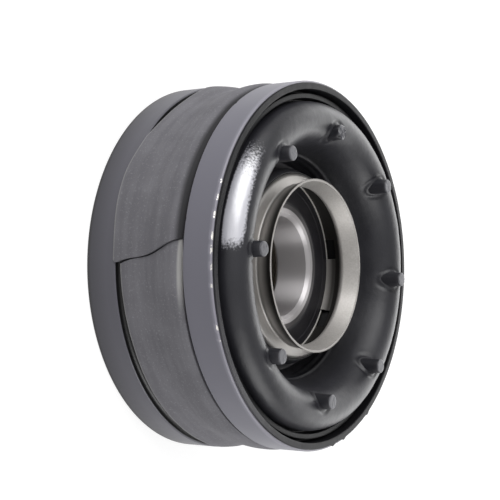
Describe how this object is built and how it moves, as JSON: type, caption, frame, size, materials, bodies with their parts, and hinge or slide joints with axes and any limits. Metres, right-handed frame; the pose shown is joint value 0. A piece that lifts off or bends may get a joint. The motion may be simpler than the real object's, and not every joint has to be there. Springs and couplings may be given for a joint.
{
  "type": "driveshaft centre bearing",
  "caption": "Driveshaft centre bearing: a sealed ball bearing in a pressed sleeve, carried by a moulded rubber cushion inside a channelled steel ring with a rubber strip round it.",
  "frame": {"origin": "centre of the rear rim's face, on the shaft's axis", "axes": "+Z along the shaft's axis from the rear rim towards the nose; the strip's joint faces -Y"},
  "size_m": [0.1276, 0.1276, 0.0564],
  "materials": {
    "ring_paint": "satin grey paint on rolled steel",
    "strip_rubber": "matte, dusty sheet rubber",
    "cushion_rubber": "moulded black rubber with a waxy bloom",
    "sleeve_steel": "dull zinc-plated pressed sheet",
    "race_steel": "ground bearing steel",
    "ball_steel": "polished",
    "cage_steel": "pressed sheet",
    "seal_rubber": "moulded nitrile rubber",
    "core_steel": "bright sheet"
  },
  "bodies": {
    "housing": {"outer_ring": "ring_paint", "insulator_strip": "strip_rubber", "rubber_cushion": "cushion_rubber", "bearing_sleeve": "sleeve_steel", "rear_dust_cover": "sleeve_steel", "bearing_outer_race": "race_steel", "front_seal": "seal_rubber", "front_seal_core": "core_steel", "rear_seal": "seal_rubber", "rear_seal_core": "core_steel"},
    "inner_race": {"bearing_inner_race": "race_steel"},
    "cage": {"cage_front_half": "cage_steel", "cage_rear_half": "cage_steel", "cage_rivets": "cage_steel"},
    "ball_1": {"ball_1": "ball_steel"},
    "ball_2": {"ball_2": "ball_steel"},
    "ball_3": {"ball_3": "ball_steel"},
    "ball_4": {"ball_4": "ball_steel"},
    "ball_5": {"ball_5": "ball_steel"},
    "ball_6": {"ball_6": "ball_steel"},
    "ball_7": {"ball_7": "ball_steel"},
    "ball_8": {"ball_8": "ball_steel"},
    "ball_9": {"ball_9": "ball_steel"},
    "ball_10": {"ball_10": "ball_steel"},
    "ball_11": {"ball_11": "ball_steel"}
  },
  "joints": [
    {"name": "inner_spin", "type": "hinge", "parent": "housing", "child": "inner_race", "pos_m": [0, 0, 0.0263], "axis": [0, 0, 1], "continuous": true},
    {"name": "cage_orbit", "type": "hinge", "parent": "housing", "child": "cage", "pos_m": [0, 0, 0.0263], "axis": [0, 0, 1], "continuous": true},
    {"name": "ball_1_spin", "type": "hinge", "parent": "cage", "child": "ball_1", "pos_m": [0.02425, 0, 0.0263], "axis": [0, 0, 1], "continuous": true},
    {"name": "ball_2_spin", "type": "hinge", "parent": "cage", "child": "ball_2", "pos_m": [0.0204, 0.01311, 0.0263], "axis": [0, 0, 1], "continuous": true},
    {"name": "ball_3_spin", "type": "hinge", "parent": "cage", "child": "ball_3", "pos_m": [0.01007, 0.02206, 0.0263], "axis": [0, 0, 1], "continuous": true},
    {"name": "ball_4_spin", "type": "hinge", "parent": "cage", "child": "ball_4", "pos_m": [-0.00345, 0.024, 0.0263], "axis": [0, 0, 1], "continuous": true},
    {"name": "ball_5_spin", "type": "hinge", "parent": "cage", "child": "ball_5", "pos_m": [-0.01588, 0.01833, 0.0263], "axis": [0, 0, 1], "continuous": true},
    {"name": "ball_6_spin", "type": "hinge", "parent": "cage", "child": "ball_6", "pos_m": [-0.02327, 0.00683, 0.0263], "axis": [0, 0, 1], "continuous": true},
    {"name": "ball_7_spin", "type": "hinge", "parent": "cage", "child": "ball_7", "pos_m": [-0.02327, -0.00683, 0.0263], "axis": [0, 0, 1], "continuous": true},
    {"name": "ball_8_spin", "type": "hinge", "parent": "cage", "child": "ball_8", "pos_m": [-0.01588, -0.01833, 0.0263], "axis": [0, 0, 1], "continuous": true},
    {"name": "ball_9_spin", "type": "hinge", "parent": "cage", "child": "ball_9", "pos_m": [-0.00345, -0.024, 0.0263], "axis": [0, 0, 1], "continuous": true},
    {"name": "ball_10_spin", "type": "hinge", "parent": "cage", "child": "ball_10", "pos_m": [0.01007, -0.02206, 0.0263], "axis": [0, 0, 1], "continuous": true},
    {"name": "ball_11_spin", "type": "hinge", "parent": "cage", "child": "ball_11", "pos_m": [0.0204, -0.01311, 0.0263], "axis": [0, 0, 1], "continuous": true}
  ],
  "couplings": [
    {"joint": "cage_orbit", "follows": "inner_spin", "ratio": 0.41817},
    {"joint": "ball_1_spin", "follows": "inner_spin", "ratio": -2.9731},
    {"joint": "ball_2_spin", "follows": "inner_spin", "ratio": -2.9731},
    {"joint": "ball_3_spin", "follows": "inner_spin", "ratio": -2.9731},
    {"joint": "ball_4_spin", "follows": "inner_spin", "ratio": -2.9731},
    {"joint": "ball_5_spin", "follows": "inner_spin", "ratio": -2.9731},
    {"joint": "ball_6_spin", "follows": "inner_spin", "ratio": -2.9731},
    {"joint": "ball_7_spin", "follows": "inner_spin", "ratio": -2.9731},
    {"joint": "ball_8_spin", "follows": "inner_spin", "ratio": -2.9731},
    {"joint": "ball_9_spin", "follows": "inner_spin", "ratio": -2.9731},
    {"joint": "ball_10_spin", "follows": "inner_spin", "ratio": -2.9731},
    {"joint": "ball_11_spin", "follows": "inner_spin", "ratio": -2.9731}
  ]
}
